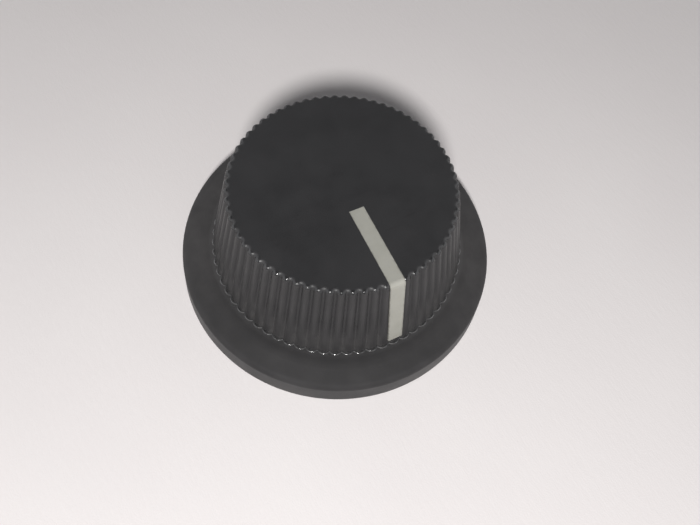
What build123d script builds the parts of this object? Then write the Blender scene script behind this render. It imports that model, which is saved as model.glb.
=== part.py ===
"""Skirted control knob: finely ridged grip, flush white pointer line, brass shaft bushing and set screw.

Frame: millimetres, +Z up along the shaft, origin at the centre of the skirt's underside.
The pointer line faces -Y, and the set screw lies opposite it, along +Y.
"""

import os
from math import atan2, cos, degrees, radians, sin

from build123d import *

# Overall shape
knob_height = 12.2
skirt_radius = 15.0  # at the underside
skirt_shoulder_radius = 14.8
skirt_shoulder_height = 2.6
skirt_top_height = 3.4
skirt_flat_radius = 12.7  # the skirt's top is level out to here, then falls to the shoulder
skirt_crown_round = 2.5
skirt_shoulder_round = 0.7
skirt_edge_round = 0.2

# Ridged grip
grip_top_radius = 9.97  # over the crests of the ridges, before the top edge is rounded
grip_base_radius = 11.85
ridge_count = 68
ridge_height = 0.24
groove_radius = 0.15  # rounding at the bottom of the narrow grooves between the ridges
grip_edge_round = 0.32
grip_root_round = 0.12

# Hollow underside
land_radius = 13.7  # inner edge of the ring that faces the panel
land_draft = 0.2
skirt_ceiling_height = 1.5
grip_wall = 1.7
roof_height = 10.4
hub_radius = 6.6
hub_recess = 0.8  # the hub ends this far above the skirt's underside
rib_count = 6
rib_thickness = 1.2
rib_recess = 2.2
access_hole_radius = 1.95
screw_boss_width = 5.8

# Pointer line
pointer_width = 1.35
pointer_depth = 0.8
pointer_inner_radius = 2.5
pointer_end_height = 4.2
pointer_bend_round = 0.45

# Brass bushing for a 1/4 inch shaft
bore_radius = 3.2
bore_chamfer = 0.3
bushing_radius = 4.8
bushing_length = 8.4
bushing_groove_depth = 0.5
bushing_groove_width = 0.8
bushing_groove_drop = 0.8  # from the bushing's top to its retaining groove
bushing_flat_distance = 4.5  # from the axis to the flat that stops it turning in the hub

# Set screw, threaded through the bushing
screw_height = 5.5
screw_radius = 1.75
screw_length = 4.8
screw_tip_distance = 3.5  # from the shaft's axis to the tip, backed off
screw_point_radius = 1.0
screw_point_length = 0.75
screw_thread_pitch = 0.8
screw_thread_depth = 0.4
screw_slot_width = 0.6
screw_slot_depth = 1.0
screw_running_gap = 0.05

# Worked out from the sizes above
half_pitch_angle = 180 / ridge_count
bushing_top_height = hub_recess + bushing_length
screw_end_distance = screw_tip_distance + screw_length


def grip_radius(height):
    """Crest radius of the tapered grip at a height."""
    share = (height - skirt_top_height) / (knob_height - skirt_top_height)
    return grip_base_radius + share * (grip_top_radius - grip_base_radius)


def polar(radius, angle):
    """Point in a level section, from its radius and its angle in degrees."""
    return Vector(radius * cos(radians(angle)), radius * sin(radians(angle)))


def ridge_outline(crest_radius):
    """Closed outline of round ridges with narrow grooves between them, each arc tangent to the next."""
    crest = polar(crest_radius, 0)
    groove_centre = polar(crest_radius - ridge_height + groove_radius, half_pitch_angle)
    gap = crest - groove_centre
    crest_arc_radius = (gap.length**2 - groove_radius**2) / (2 * (gap.X + groove_radius))
    towards_crest = (gap - Vector(crest_arc_radius, 0)).normalized()
    joint = groove_centre + towards_crest * groove_radius
    joint_angle = degrees(atan2(joint.Y, joint.X))
    for ridge in range(ridge_count):
        middle_angle = 2 * half_pitch_angle * ridge
        start = polar(joint.length, middle_angle - joint_angle)
        end = polar(joint.length, middle_angle + joint_angle)
        next_start = polar(joint.length, middle_angle + 2 * half_pitch_angle - joint_angle)
        ThreePointArc(start, polar(crest_radius, middle_angle), end)
        ThreePointArc(end, polar(crest_radius - ridge_height, middle_angle + half_pitch_angle), next_start)


def thread_outline():
    """Half section of the set screw, distance along it against radius, with V grooves."""
    root_radius = screw_radius - screw_thread_depth
    shank = screw_tip_distance + screw_point_length
    turns = int((screw_end_distance - shank) / screw_thread_pitch)
    points = [(screw_tip_distance, 0), (screw_tip_distance, screw_point_radius)]
    for turn in range(turns):
        rise = shank + turn * screw_thread_pitch
        points.append((rise, root_radius))
        points.append((rise + 0.4 * screw_thread_pitch, screw_radius))
        points.append((rise + 0.6 * screw_thread_pitch, screw_radius))
    points.append((shank + turns * screw_thread_pitch, root_radius))
    points.append((screw_end_distance, root_radius))
    points.append((screw_end_distance, 0))
    return points


# Ridged grip, a tapered column whose ridges narrow towards the top
with BuildPart() as grip:
    for level in (skirt_top_height, knob_height):
        with BuildSketch(Plane.XY.offset(level)):
            with BuildLine():
                ridge_outline(grip_radius(level))
            make_face()
    loft(ruled=True)
    fillet(grip.edges().group_by(Axis.Z)[-1], grip_edge_round)

# Channel for the pointer line, L-shaped, outwards over the top and down the grip
with BuildPart() as pointer_channel:
    with BuildSketch(Plane.YZ):
        with BuildLine():
            Polyline(
                (-pointer_inner_radius, knob_height),
                (-grip_top_radius, knob_height),
                (-grip_radius(pointer_end_height), pointer_end_height),
            )
            offset(amount=pointer_depth, side=Side.LEFT, closed=True)
        make_face()
    extrude(amount=pointer_width / 2, both=True)

# Pointer line, the white inlay that fills the channel and rounds over the grip's edge
with BuildPart() as pointer_line:
    add(pointer_channel.part)
    cross_edges = pointer_line.edges().filter_by(Axis.X)
    fillet(cross_edges.sort_by_distance((0, -grip_top_radius, knob_height))[0], pointer_bend_round)

# Outer shape of the bushing, a turned blank with a retaining groove and one flat
with BuildPart() as bushing_blank:
    with BuildSketch(Plane.XY.offset(hub_recess)):
        Circle(bushing_radius)
        with Locations((0, -bushing_radius - bushing_flat_distance)):
            Rectangle(2 * bushing_radius, 2 * bushing_radius, mode=Mode.SUBTRACT)
    extrude(amount=bushing_length)
    with BuildSketch(Plane.XY.offset(bushing_top_height - bushing_groove_drop)):
        Circle(bushing_radius)
        Circle(bushing_radius - bushing_groove_depth, mode=Mode.SUBTRACT)
    extrude(amount=-bushing_groove_width, mode=Mode.SUBTRACT)

# Brass bushing, with its shaft bore and the cross hole that the set screw runs in
with BuildPart() as shaft_bushing:
    add(bushing_blank.part)
    with BuildSketch(Plane.XY.offset(hub_recess)):
        Circle(bore_radius)
    extrude(amount=bushing_length, mode=Mode.SUBTRACT)
    round_edges = shaft_bushing.edges().filter_by(GeomType.CIRCLE)
    chamfer(round_edges.group_by(SortBy.RADIUS)[0], bore_chamfer)
    with BuildSketch(Plane.XZ):
        with Locations((0, screw_height)):
            Circle(screw_radius + screw_running_gap)
    extrude(amount=-2 * bushing_radius, mode=Mode.SUBTRACT)

# Space under the skirt and inside the grip, around the hub, its ribs and the screw boss
with BuildPart() as hollow:
    with BuildSketch(Plane.XZ):
        with BuildLine():
            Polyline(
                (0, 0),
                (land_radius, 0),
                (land_radius - land_draft, skirt_ceiling_height),
                (grip_radius(skirt_top_height) - grip_wall, skirt_ceiling_height),
                (grip_radius(roof_height) - grip_wall, roof_height),
                (hub_radius, roof_height),
                (hub_radius, hub_recess),
                (0, hub_recess),
                close=True,
            )
        make_face()
    revolve(axis=Axis.Z)
    with BuildSketch(Plane.XY.offset(rib_recess)):
        with PolarLocations(hub_radius, rib_count, start_angle=90):
            Rectangle(2 * grip_base_radius, rib_thickness)
        with Locations((0, grip_base_radius)):
            Rectangle(screw_boss_width, 2 * grip_base_radius)
    extrude(amount=knob_height, mode=Mode.SUBTRACT)

# Knob body, one moulding: ridged grip and skirt, hollowed from below
with BuildPart() as knob_body:
    with BuildSketch(Plane.XZ) as skirt_profile:
        shoulder = (skirt_shoulder_radius, skirt_shoulder_height)
        crown = (skirt_flat_radius, skirt_top_height)
        with BuildLine():
            Polyline((0, 0), (skirt_radius, 0), shoulder, crown, (0, skirt_top_height), close=True)
        make_face()
        fillet(skirt_profile.vertices().sort_by_distance((skirt_radius, 0))[0], skirt_edge_round)
        fillet(skirt_profile.vertices().sort_by_distance(shoulder)[0], skirt_shoulder_round)
        fillet(skirt_profile.vertices().sort_by_distance(crown)[0], skirt_crown_round)
    revolve(axis=Axis.Z)
    add(grip.part)
    skirt_top_edges = max(knob_body.edges().group_by(Axis.Z), key=len)
    root_edges = skirt_top_edges.sort_by(SortBy.LENGTH)[:-1]  # all but the crown's own long edge
    fillet(root_edges, grip_root_round)
    add(hollow.part, mode=Mode.SUBTRACT)
    add(bushing_blank.part, mode=Mode.SUBTRACT)
    add(pointer_channel.part, mode=Mode.SUBTRACT)
    with BuildSketch(Plane.XZ):
        with Locations((0, screw_height)):
            Circle(access_hole_radius)
    extrude(amount=-2 * grip_base_radius, mode=Mode.SUBTRACT)

# Headless set screw with a driver slot, its thread drawn as rings
with BuildPart() as set_screw:
    with BuildSketch(Plane.YZ):
        with BuildLine():
            Polyline([(along, screw_height + radius) for along, radius in thread_outline()], close=True)
        make_face()
    revolve(axis=Axis((0, 0, screw_height), (0, 1, 0)))
    with BuildSketch(Plane.XZ.offset(-screw_end_distance)):
        with Locations((0, screw_height)):
            Rectangle(3 * screw_radius, screw_slot_width)
    extrude(amount=screw_slot_depth, mode=Mode.SUBTRACT)

os.makedirs("parts", exist_ok=True)
knob_body.part.label = "knob_body"
export_step(knob_body.part, "parts/knob_body.step")
pointer_line.part.label = "pointer_line"
export_step(pointer_line.part, "parts/pointer_line.step")
shaft_bushing.part.label = "shaft_bushing"
export_step(shaft_bushing.part, "parts/shaft_bushing.step")
set_screw.part.label = "set_screw"
export_step(set_screw.part, "parts/set_screw.step")
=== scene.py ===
from math import cos, pi, radians, sin

import bmesh
import bpy
from mathutils import Matrix, Vector


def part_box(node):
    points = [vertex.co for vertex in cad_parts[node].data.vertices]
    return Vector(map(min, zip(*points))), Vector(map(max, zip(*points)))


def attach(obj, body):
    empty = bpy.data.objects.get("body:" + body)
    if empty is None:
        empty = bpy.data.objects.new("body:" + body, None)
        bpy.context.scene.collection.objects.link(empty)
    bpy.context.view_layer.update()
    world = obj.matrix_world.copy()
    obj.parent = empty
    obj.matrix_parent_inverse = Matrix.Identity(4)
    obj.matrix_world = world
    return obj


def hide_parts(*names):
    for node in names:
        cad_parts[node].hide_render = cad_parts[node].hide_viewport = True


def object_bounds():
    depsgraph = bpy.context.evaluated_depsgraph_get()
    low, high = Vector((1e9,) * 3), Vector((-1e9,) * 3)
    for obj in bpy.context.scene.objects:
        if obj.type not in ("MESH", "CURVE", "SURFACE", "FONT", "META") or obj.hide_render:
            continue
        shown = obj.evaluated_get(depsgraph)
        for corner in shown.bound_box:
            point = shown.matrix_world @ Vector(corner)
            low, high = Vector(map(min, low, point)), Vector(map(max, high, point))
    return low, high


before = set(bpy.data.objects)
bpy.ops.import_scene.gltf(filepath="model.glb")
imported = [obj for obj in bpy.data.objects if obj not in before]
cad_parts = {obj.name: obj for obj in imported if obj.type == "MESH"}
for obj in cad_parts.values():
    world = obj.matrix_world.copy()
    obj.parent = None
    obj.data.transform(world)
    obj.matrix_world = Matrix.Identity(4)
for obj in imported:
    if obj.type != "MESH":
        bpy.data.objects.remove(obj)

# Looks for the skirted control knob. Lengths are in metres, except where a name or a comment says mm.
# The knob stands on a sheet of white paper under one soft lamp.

MM = 0.001
cad_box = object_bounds()

# Places on the knob, in mm
knob_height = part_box("knob_body")[1].z / MM
skirt_radius = cad_box[1].x / MM
ridge_count = 68
grip_top_radius = 9.97
grip_root_radius = 11.85
skirt_top_height = 3.4
skirt_shoulder_height = 2.45
line_half_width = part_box("pointer_line")[1].x / MM
line_end_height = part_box("pointer_line")[0].z / MM
bore_axis_limit = 3.6  # inside this radius, a brass face belongs to the bore

# Set screw
thread_pitch, thread_depth = 0.8 * MM, 0.4 * MM
point_radius, point_length = 1.0 * MM, 0.75 * MM
slot_width, slot_depth = 0.6 * MM, 1.0 * MM

# The camera stands where the photograph was taken, relative to the knob
view_azimuth = radians(-30.9)
view_elevation = radians(62.1)
view_distance = 65.625 * MM
lens_mm = 33.43
camera_pan = radians(1.312)
camera_tilt = radians(-0.676)
camera_roll = radians(6.205)

# Lighting
lamp_place = Vector((0.0, -129.0, 138.5)) * MM  # before it is turned to the camera's side
lamp_size = 28 * MM
lamp_power = 0.36
ambient_light = 0.14
mirrored_horizon = 0.45  # how bright the room looks in reflections, level with the knob
mirrored_zenith = 0.23
mirrored_sides = 1.6  # and to the left and right of the camera
backdrop_light = 0.72
backdrop_tint = (0.98, 0.98, 1.0)


class Surface:
    """One node material. Its methods add nodes and return an output, so that calls nest like a formula."""

    def __init__(self, name):
        self.material = bpy.data.materials.new(name)
        self.material.use_nodes = True
        self.tree = self.material.node_tree
        self.shader = self.tree.nodes["Principled BSDF"]
        metres = self.node("ShaderNodeTexCoord").outputs["Object"]
        self.place = self.vector_math("SCALE", metres, Scale=1 / MM)  # in mm
        parts = self.node("ShaderNodeSeparateXYZ", Vector=self.place).outputs
        self.x, self.y, self.z = parts[0], parts[1], parts[2]
        self.radius = self.math("SQRT", self.add(self.times(self.x, self.x), self.times(self.y, self.y)))

    def node(self, kind, settings=None, **inputs):
        made = self.tree.nodes.new(kind)
        for key, value in (settings or {}).items():
            setattr(made, key, value)
        for key, value in inputs.items():
            self.put(value, made.inputs[key.replace("_", " ")])
        return made

    def put(self, value, socket):
        if isinstance(value, bpy.types.NodeSocket):
            self.tree.links.new(value, socket)
        else:
            socket.default_value = value

    def set(self, **inputs):
        for key, value in inputs.items():
            self.put(value, self.shader.inputs[key.replace("_", " ")])

    def math(self, operation, *values):
        made = self.node("ShaderNodeMath", {"operation": operation})
        for socket, value in zip(made.inputs, values):
            self.put(value, socket)
        return made.outputs[0]

    def add(self, *values):
        total = values[0]
        for value in values[1:]:
            total = self.math("ADD", total, value)
        return total

    def times(self, *values):
        product = values[0]
        for value in values[1:]:
            product = self.math("MULTIPLY", product, value)
        return product

    def less(self, first, second):
        return self.math("SUBTRACT", first, second)

    def vector_math(self, operation, *values, **inputs):
        made = self.node("ShaderNodeVectorMath", {"operation": operation}, **inputs)
        for socket, value in zip(made.inputs, values):
            self.put(value, socket)
        return made.outputs[0]

    def ramp(self, value, start, end, low=0.0, high=1.0):
        """Smooth step from low to high as the value goes from start to end."""
        made = self.node("ShaderNodeMapRange", {"interpolation_type": "SMOOTHSTEP"}, Value=value)
        for key, number in (("From Min", start), ("From Max", end), ("To Min", low), ("To Max", high)):
            self.put(number, made.inputs[key])
        return made.outputs[0]

    def blend(self, share, first, second):
        """Mixes two colours, given as (red, green, blue) or as an output."""
        made = self.node("ShaderNodeMix", {"data_type": "RGBA"})
        for index, value in ((0, share), (6, first), (7, second)):
            self.put((*value, 1) if isinstance(value, tuple) else value, made.inputs[index])
        return made.outputs[2]

    def noise(self, per_mm, detail=2.0, roughness=0.5, stretch=(1, 1, 1), turn=0.0, offset=0.0):
        """Cloudy noise from 0 to 1, with about this many blobs per mm."""
        placed = self.node("ShaderNodeMapping", Vector=self.place)
        placed.inputs["Scale"].default_value = stretch
        placed.inputs["Rotation"].default_value = (0, 0, turn)
        placed.inputs["Location"].default_value = (offset, offset, offset)
        inputs = {"Scale": per_mm, "Detail": detail, "Roughness": roughness}
        return self.node("ShaderNodeTexNoise", Vector=placed.outputs[0], **inputs).outputs[0]

    def specks(self, per_mm, size, offset=0.0):
        """Sparse round specks, 1 inside a speck."""
        moved = self.vector_math("ADD", self.place, (offset, offset, offset))
        cells = self.node("ShaderNodeTexVoronoi", Vector=moved, Scale=per_mm)
        draw = self.node("ShaderNodeSeparateXYZ", Vector=cells.outputs["Color"]).outputs[0]
        chosen = self.math("GREATER_THAN", draw, 0.8)
        return self.times(chosen, self.ramp(cells.outputs["Distance"], size, size * 0.5))

    def near_ring(self, ring_radius, ring_height, core, reach):
        """1 near a level circle about the knob's axis, falling to 0 at the reach. All in mm."""
        across = self.less(self.radius, ring_radius)
        along = self.less(self.z, ring_height)
        distance = self.math("SQRT", self.add(self.times(across, across), self.times(along, along)))
        return self.ramp(distance, reach, core)

    def scratches(self, turn, share):
        """Fine straight scratches along one direction, 1 in a scratch."""
        streaks = self.noise(9.0, 2.0, 0.6, stretch=(0.035, 1, 1), turn=turn, offset=turn * 7)
        return self.ramp(streaks, 1 - share, 1 - share + 0.03)

    def bump(self, height, distance, normal=None):
        made = self.node("ShaderNodeBump", Height=height, Distance=distance)
        if normal is not None:
            self.put(normal, made.inputs["Normal"])
        return made.outputs[0]


def black_plastic():
    """Satin moulded plastic, polished in places along its edges, dusty low on the grip, with a lighter film
    on the skirt that is partly dust and partly painted sheen.
    """
    s = Surface("black_plastic")
    mottling = s.noise(0.35, 4.0)
    smudges = s.ramp(s.noise(0.22, 3.0, 0.6, offset=31), 0.42, 0.66)
    grain = s.noise(11.0, 2.0)
    fine_grain = s.noise(26.0, 1.0)
    angle = s.math("ARCTAN2", s.y, s.x)
    ridge_wave = s.math("COSINE", s.times(angle, float(ridge_count)))  # 1 on a crest, -1 in a groove
    on_side = s.ramp(s.z, skirt_top_height, skirt_top_height + 0.3)
    on_side = s.times(on_side, s.ramp(s.z, knob_height - 0.02, knob_height - 0.2))
    on_side = s.times(on_side, s.ramp(s.radius, grip_top_radius - 0.9, grip_top_radius - 0.5))
    crest = s.times(s.ramp(ridge_wave, 0.55, 1.0), on_side)
    on_top = s.ramp(s.z, knob_height - 0.06, knob_height - 0.01)
    root = s.near_ring(grip_root_radius, skirt_top_height + 0.05, 0.3, 0.5)
    root = s.times(root, s.ramp(s.z, skirt_top_height + 0.001, skirt_top_height + 0.012))
    top_edge = s.near_ring(grip_top_radius - 0.1, knob_height - 0.1, 0.1, 0.3)
    shoulder = s.near_ring(skirt_radius - 0.35, skirt_shoulder_height, 0.2, 0.7)
    level_part = s.times(s.ramp(s.z, skirt_top_height + 0.15, skirt_top_height), s.ramp(s.z, 2.1, 2.5))
    on_skirt = s.times(level_part, s.ramp(s.radius, grip_root_radius + 0.1, grip_root_radius + 0.5))
    scratch = s.math("MAXIMUM", s.scratches(0.5, 0.33), s.scratches(2.1, 0.34))
    scratch = s.math("MAXIMUM", scratch, s.scratches(3.9, 0.35))

    colour = s.blend(mottling, (0.0105, 0.0105, 0.0112), (0.0165, 0.0162, 0.0172))
    edges = s.math("MAXIMUM", top_edge, shoulder)
    worn = s.times(s.math("MAXIMUM", s.times(crest, 0.5), edges), s.ramp(mottling, 0.35, 0.7))
    colour = s.blend(s.times(worn, 0.5), colour, (0.030, 0.0295, 0.031))
    low_on_side = s.times(on_side, s.ramp(s.z, skirt_top_height + 4.5, skirt_top_height + 1.0))
    low_dust = s.times(low_on_side, s.ramp(ridge_wave, 0.8, -0.9, 0.4, 1.0))
    low_dust = s.times(low_dust, s.ramp(s.noise(1.4, 3.0), 0.25, 0.7, 0.55, 1.0))
    colour = s.blend(s.times(low_dust, 0.26), colour, (0.125, 0.12, 0.118))
    # Lighter film on the skirt, partly dust and partly painted sheen. It is heavier on the sides and back,
    # away from the camera, where reflections lighten the skirt, and thinner at the front, where the lamp's
    # own highlight lightens it. It reaches in to the root as painted light over the shade there.
    away = s.add(s.times(s.x, -sin(view_azimuth)), s.times(s.y, cos(view_azimuth)))
    dust_and_painted_sheen = s.times(level_part, s.ramp(s.radius, grip_root_radius - 0.3, grip_root_radius))
    dust_and_painted_sheen = s.times(dust_and_painted_sheen, s.ramp(s.noise(0.5, 4.0, 0.6, offset=17), 0.2, 0.8, 0.15, 0.24))
    dust_and_painted_sheen = s.times(dust_and_painted_sheen, s.ramp(away, -12.5, 0.0, 0.72, 1.7))
    colour = s.blend(dust_and_painted_sheen, colour, (0.125, 0.12, 0.12))
    specks = s.math("MAXIMUM", s.specks(0.9, 0.035), s.specks(1.7, 0.05, offset=5))
    colour = s.blend(s.times(specks, 0.3), colour, (0.16, 0.155, 0.15))
    s.set(Base_Color=colour)

    rough = s.add(0.52, s.times(smudges, -0.07), s.times(s.less(mottling, 0.5), 0.10))
    rough = s.add(rough, s.times(scratch, on_top, -0.10), s.times(crest, -0.08))
    rough = s.add(rough, s.times(low_dust, 0.15), s.times(specks, 0.2))
    patches = s.ramp(s.noise(0.45, 2.0, offset=23), 0.4, 0.6, 0.5, 1.0)
    patches = s.times(patches, s.ramp(ridge_wave, -0.3, 0.5))
    polish = s.times(patches, s.math("MAXIMUM", root, s.times(top_edge, 0.85)))
    rough = s.add(rough, s.times(on_skirt, 0.18), s.times(polish, -0.40))
    s.set(Roughness=s.math("MAXIMUM", rough, 0.12), IOR=1.5)
    s.set(Specular_IOR_Level=s.add(0.5, s.times(on_skirt, -0.30), s.times(patches, root, 0.5)))

    waviness = s.bump(s.noise(0.5, 1.0), 0.012 * MM)
    texture = s.bump(s.add(s.times(grain, 0.7), s.times(fine_grain, 0.3)), 0.010 * MM, waviness)
    s.set(Normal=s.bump(s.times(scratch, on_top), -0.0015 * MM, texture))
    return s.material


def white_plastic():
    """Off-white inlay with a faint yellowing, and grime along the seam with the black plastic."""
    s = Surface("white_plastic")
    mottling = s.noise(1.1, 4.0)
    seam = s.ramp(s.math("ABSOLUTE", s.x), line_half_width - 0.16, line_half_width - 0.01)
    low_end = s.ramp(s.z, line_end_height + 0.25, line_end_height)
    grime = s.times(s.math("MAXIMUM", seam, low_end), s.ramp(s.noise(2.6, 3.0, offset=11), 0.3, 0.7))
    colour = s.blend(mottling, (0.320, 0.320, 0.283), (0.375, 0.372, 0.338))
    colour = s.blend(s.times(grime, 0.55), colour, (0.12, 0.115, 0.10))
    # The line is darker down the side of the grip than on its top.
    side_stretch = s.ramp(s.z, knob_height - 0.2, knob_height - 0.8)  # the stretch down the side of the grip
    colour = s.blend(s.times(side_stretch, 0.2), colour, (0.2, 0.197, 0.17))
    colour = s.blend(s.times(s.specks(2.4, 0.06), 0.6), colour, (0.09, 0.085, 0.075))
    s.set(Base_Color=colour)
    s.set(Roughness=s.add(0.42, s.times(s.noise(0.8, 3.0, offset=3), 0.14), s.times(grime, 0.15)))
    s.set(Subsurface_Weight=0.06, Subsurface_Radius=(0.4 * MM, 0.35 * MM, 0.25 * MM), Subsurface_Scale=1.0)
    waviness = s.bump(s.noise(0.9, 1.0), 0.012 * MM)
    s.set(Normal=s.bump(s.noise(14.0, 2.0), 0.006 * MM, waviness))
    return s.material


def turned_brass():
    """Brass with the fine rings that a lathe leaves, browner where it has tarnished."""
    s = Surface("brass")
    faces = s.node("ShaderNodeNewGeometry").outputs["Normal"]
    tilt = s.math("ABSOLUTE", s.node("ShaderNodeSeparateXYZ", Vector=faces).outputs[2])
    across = s.math("SINE", s.times(s.radius, 2 * pi / 0.13))
    along = s.math("SINE", s.times(s.z, 2 * pi / 0.11))
    end_face = s.ramp(tilt, 0.4, 0.8)
    rings = s.add(s.times(across, end_face), s.times(along, s.less(1.0, end_face)))
    tarnish = s.ramp(s.noise(0.7, 5.0, 0.6), 0.38, 0.72)
    bore = s.ramp(s.radius, bore_axis_limit, bore_axis_limit - 0.3)
    colour = s.blend(s.times(tarnish, 0.75), (0.78, 0.57, 0.26), (0.44, 0.28, 0.115))
    colour = s.blend(s.times(s.ramp(rings, 0.2, 1.0), 0.18), colour, (0.93, 0.74, 0.42))
    s.set(Base_Color=colour, Metallic=1.0)
    rough = s.add(0.24, s.times(tarnish, 0.22), s.times(s.noise(6.0, 3.0), 0.10), s.times(bore, -0.04))
    s.set(Roughness=rough, Anisotropic=0.3)
    worked = s.bump(rings, 0.004 * MM)
    s.set(Normal=s.bump(s.noise(5.0, 4.0), 0.006 * MM, worked))
    return s.material


def zinc_plate():
    """Bright zinc plating with a faint blue and straw tint, dull in patches."""
    s = Surface("zinc_plated_steel")
    tint = s.noise(0.8, 2.0, offset=2)
    dull = s.ramp(s.noise(2.4, 5.0, 0.65), 0.4, 0.7)
    colour = s.blend(s.ramp(tint, 0.35, 0.65), (0.56, 0.59, 0.64), (0.64, 0.61, 0.52))
    colour = s.blend(s.times(dull, 0.55), colour, (0.33, 0.33, 0.335))
    s.set(Base_Color=colour, Metallic=1.0)
    s.set(Roughness=s.add(0.26, s.times(dull, 0.24)))
    drawn = s.noise(7.0, 3.0, 0.6, stretch=(1, 0.15, 1))
    s.set(Normal=s.bump(s.add(drawn, s.noise(12.0, 2.0)), 0.006 * MM))
    return s.material


def paper():
    """Plain white paper with a trace of its fibres, fading into the backdrop away from the knob."""
    s = Surface("paper")
    clouds = s.noise(0.05, 4.0)
    fibres = s.noise(2.0, 4.0, 0.6, stretch=(1, 0.35, 1), turn=0.7)
    colour = s.blend(clouds, (0.80, 0.765, 0.765), (0.86, 0.83, 0.825))
    s.set(Base_Color=colour, Roughness=0.9)
    s.set(Normal=s.bump(s.add(fibres, s.times(s.noise(7.0, 2.0), 0.5)), 0.02 * MM))
    backdrop = s.node("ShaderNodeEmission", Color=(*backdrop_tint, 1), Strength=backdrop_light).outputs[0]
    fade = s.node("ShaderNodeMixShader", Fac=s.ramp(s.radius, 50.0, 180.0)).inputs
    s.put(s.shader.outputs[0], fade[1])
    s.put(backdrop, fade[2])
    s.put(fade[0].node.outputs[0], s.tree.nodes["Material Output"].inputs["Surface"])
    return s.material


def give(node, material):
    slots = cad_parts[node].data.materials
    slots.clear()
    slots.append(material)


def link(thing):
    bpy.context.scene.collection.objects.link(thing)
    return thing


def thread_profile(phase):
    """Depth share of a V thread with a flat crest and root, over one pitch. 0 is the root, 1 the crest."""
    rise = 0.3
    flat = 0.2
    if phase < flat:
        return 0.0
    if phase < flat + rise:
        return (phase - flat) / rise
    if phase < 2 * flat + rise:
        return 1.0
    return 1 - (phase - 2 * flat - rise) / rise


def threaded_screw(material):
    """Headless set screw with a helical thread, a dog point and a driver slot, where the CAD's screw is."""
    low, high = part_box("set_screw")
    length = high.y - low.y
    full_radius = (high.x - low.x) / 2
    root_radius = full_radius - thread_depth
    end_chamfer = 0.35 * MM
    tip_taper = 1.6  # rise of the radius for each unit along, behind the point
    steps_around, steps_along = 78, 150  # no corner of a ring lies on a wall of the slot

    def limit(along):
        """Largest radius that the tapered tip and the chamfered end leave."""
        tip = point_radius + max(0, along - point_length / 2) * tip_taper
        end = full_radius - end_chamfer + (length - along)
        return min(tip if along > point_length / 2 else point_radius, end, full_radius)

    def radius_at(along, turn):
        share = thread_profile((along / thread_pitch - turn) % 1.0)
        return min(root_radius + share * (full_radius - root_radius), limit(along))

    mesh = bmesh.new()
    rings = []
    for step in range(steps_along + 1):
        along = length * step / steps_along
        ring = []
        for side in range(steps_around):
            turn = side / steps_around
            radius = radius_at(along, turn)
            ring.append(mesh.verts.new((radius * cos(2 * pi * turn), along, radius * sin(2 * pi * turn))))
        rings.append(ring)
    for lower, upper in zip(rings, rings[1:]):
        for side in range(steps_around):
            after = (side + 1) % steps_around
            mesh.faces.new((lower[side], lower[after], upper[after], upper[side]))
    for ring, along in ((rings[0], 0.0), (rings[-1], length)):
        centre = mesh.verts.new((0, along, 0))
        for side in range(steps_around):
            mesh.faces.new((centre, ring[side], ring[(side + 1) % steps_around]))
    bmesh.ops.recalc_face_normals(mesh, faces=mesh.faces)
    blank = link(bpy.data.objects.new("screw_blank", bpy.data.meshes.new("screw_blank")))
    mesh.to_mesh(blank.data)
    mesh.free()

    mesh = bmesh.new()
    size = Matrix.Diagonal((3 * full_radius, 2 * slot_depth, slot_width, 1))
    bmesh.ops.create_cube(mesh, size=1, matrix=Matrix.Translation((0, length, 0)) @ size)
    cutter = link(bpy.data.objects.new("slot_cutter", bpy.data.meshes.new("slot_cutter")))
    mesh.to_mesh(cutter.data)
    mesh.free()

    cut = blank.modifiers.new("slot", "BOOLEAN")
    cut.operation = "DIFFERENCE"
    cut.object = cutter
    evaluated = blank.evaluated_get(bpy.context.evaluated_depsgraph_get())
    finished = bpy.data.meshes.new_from_object(evaluated)
    bpy.data.objects.remove(cutter)
    bpy.data.objects.remove(blank)
    finished.transform(Matrix.Translation((0, low.y, (low.z + high.z) / 2)))
    finished.materials.clear()
    finished.materials.append(material)
    for face in finished.polygons:
        face.use_smooth = True
    finished.set_sharp_from_angle(angle=radians(32))
    screw = link(bpy.data.objects.new("threaded_set_screw", finished))
    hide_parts("set_screw")
    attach(screw, "set_screw")


def floor_sheet(material):
    half_side = 600 * MM
    just_under = Matrix.Translation((0, 0, -0.02 * MM))
    mesh = bmesh.new()
    bmesh.ops.create_grid(mesh, x_segments=4, y_segments=4, size=half_side, matrix=just_under)
    sheet = link(bpy.data.objects.new("floor", bpy.data.meshes.new("floor")))
    mesh.to_mesh(sheet.data)
    mesh.free()
    sheet.data.materials.append(material)


def soft_lamp():
    """One round soft lamp on the camera's side."""
    lamp = bpy.data.lights.new("key", "AREA")
    lamp.shape = "DISK"
    lamp.size = lamp_size
    lamp.energy = lamp_power
    lamp.color = (1.0, 0.985, 0.975)
    key = link(bpy.data.objects.new("key", lamp))
    place = Matrix.Rotation(view_azimuth, 3, "Z") @ lamp_place
    key.location = place
    key.rotation_euler = place.to_track_quat("Z", "Y").to_euler()
    key.visible_camera = False


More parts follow.
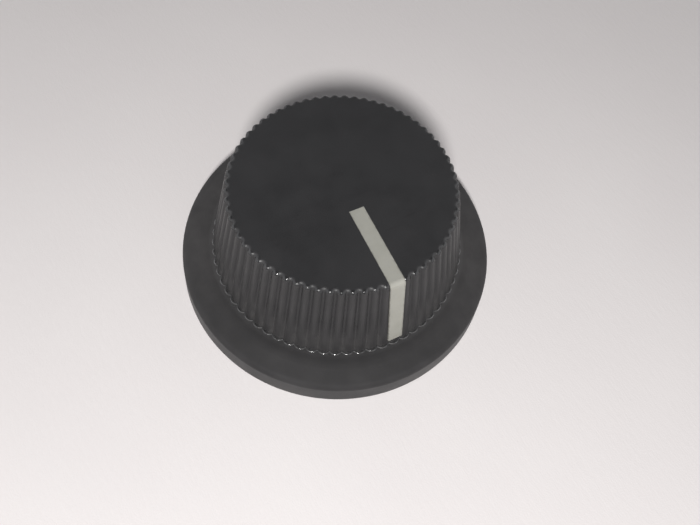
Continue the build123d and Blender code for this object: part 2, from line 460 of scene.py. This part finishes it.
def dim_room():
    """World: plain to the camera, dim to matt surfaces, brighter low down and sideways in reflections."""
    world = bpy.data.worlds.new("studio")
    world.use_nodes = True
    tree = world.node_tree

    def make(kind, operation=None):
        node = tree.nodes.new(kind)
        if operation:
            node.operation = operation
        return node

    def smooth_range(value, start, end, low, high):
        node = make("ShaderNodeMapRange")
        node.interpolation_type = "SMOOTHSTEP"
        for key, number in (("From Min", start), ("From Max", end), ("To Min", low), ("To Max", high)):
            node.inputs[key].default_value = number
        tree.links.new(value, node.inputs[0])
        return node.outputs[0]

    direction = make("ShaderNodeTexCoord").outputs["Generated"]
    parts = make("ShaderNodeSeparateXYZ")
    tree.links.new(direction, parts.inputs[0])
    low_edge, high_edge = sin(radians(25)), sin(radians(65))
    by_height = smooth_range(parts.outputs[2], low_edge, high_edge, mirrored_horizon, mirrored_zenith)

    sideways = make("ShaderNodeVectorMath", "DOT_PRODUCT")
    tree.links.new(direction, sideways.inputs[0])
    sideways.inputs[1].default_value = (cos(view_azimuth), sin(view_azimuth), 0)
    either_side = make("ShaderNodeMath", "ABSOLUTE")
    tree.links.new(sideways.outputs["Value"], either_side.inputs[0])
    beside = smooth_range(either_side.outputs[0], 0.25, 0.7, 0.0, mirrored_sides)
    room = make("ShaderNodeMath", "MAXIMUM")
    tree.links.new(by_height, room.inputs[0])
    tree.links.new(beside, room.inputs[1])

    rays = make("ShaderNodeLightPath")
    mirrored = make("ShaderNodeMix")
    mirrored.inputs[2].default_value = ambient_light
    tree.links.new(rays.outputs["Is Glossy Ray"], mirrored.inputs[0])
    tree.links.new(room.outputs[0], mirrored.inputs[3])
    seen = make("ShaderNodeMix")
    seen.inputs[3].default_value = backdrop_light
    tree.links.new(rays.outputs["Is Camera Ray"], seen.inputs[0])
    tree.links.new(mirrored.outputs[0], seen.inputs[2])
    background = tree.nodes["Background"]
    background.inputs["Color"].default_value = (*backdrop_tint, 1)
    tree.links.new(seen.outputs[0], background.inputs["Strength"])
    bpy.context.scene.world = world


def photograph_camera():
    azimuth, elevation = view_azimuth, view_elevation
    back = Vector((sin(azimuth) * cos(elevation), -cos(azimuth) * cos(elevation), sin(elevation)))
    camera = link(bpy.data.objects.new("camera", bpy.data.cameras.new("camera")))
    camera.data.lens = lens_mm
    camera.data.sensor_width = 36
    camera.data.clip_start = MM
    look = (-back).to_track_quat("-Z", "Y").to_matrix().to_4x4()
    turn = Matrix.Rotation(-camera_pan, 4, "Y") @ Matrix.Rotation(camera_tilt, 4, "X")
    turn = turn @ Matrix.Rotation(camera_roll, 4, "Z")
    camera.matrix_world = Matrix.Translation(back * view_distance) @ look @ turn
    bpy.context.scene.camera = camera


give("knob_body", black_plastic())
give("pointer_line", white_plastic())
give("shaft_bushing", turned_brass())
threaded_screw(zinc_plate())
floor_sheet(paper())
soft_lamp()
dim_room()
photograph_camera()
bpy.context.scene.view_settings.view_transform = "Standard"
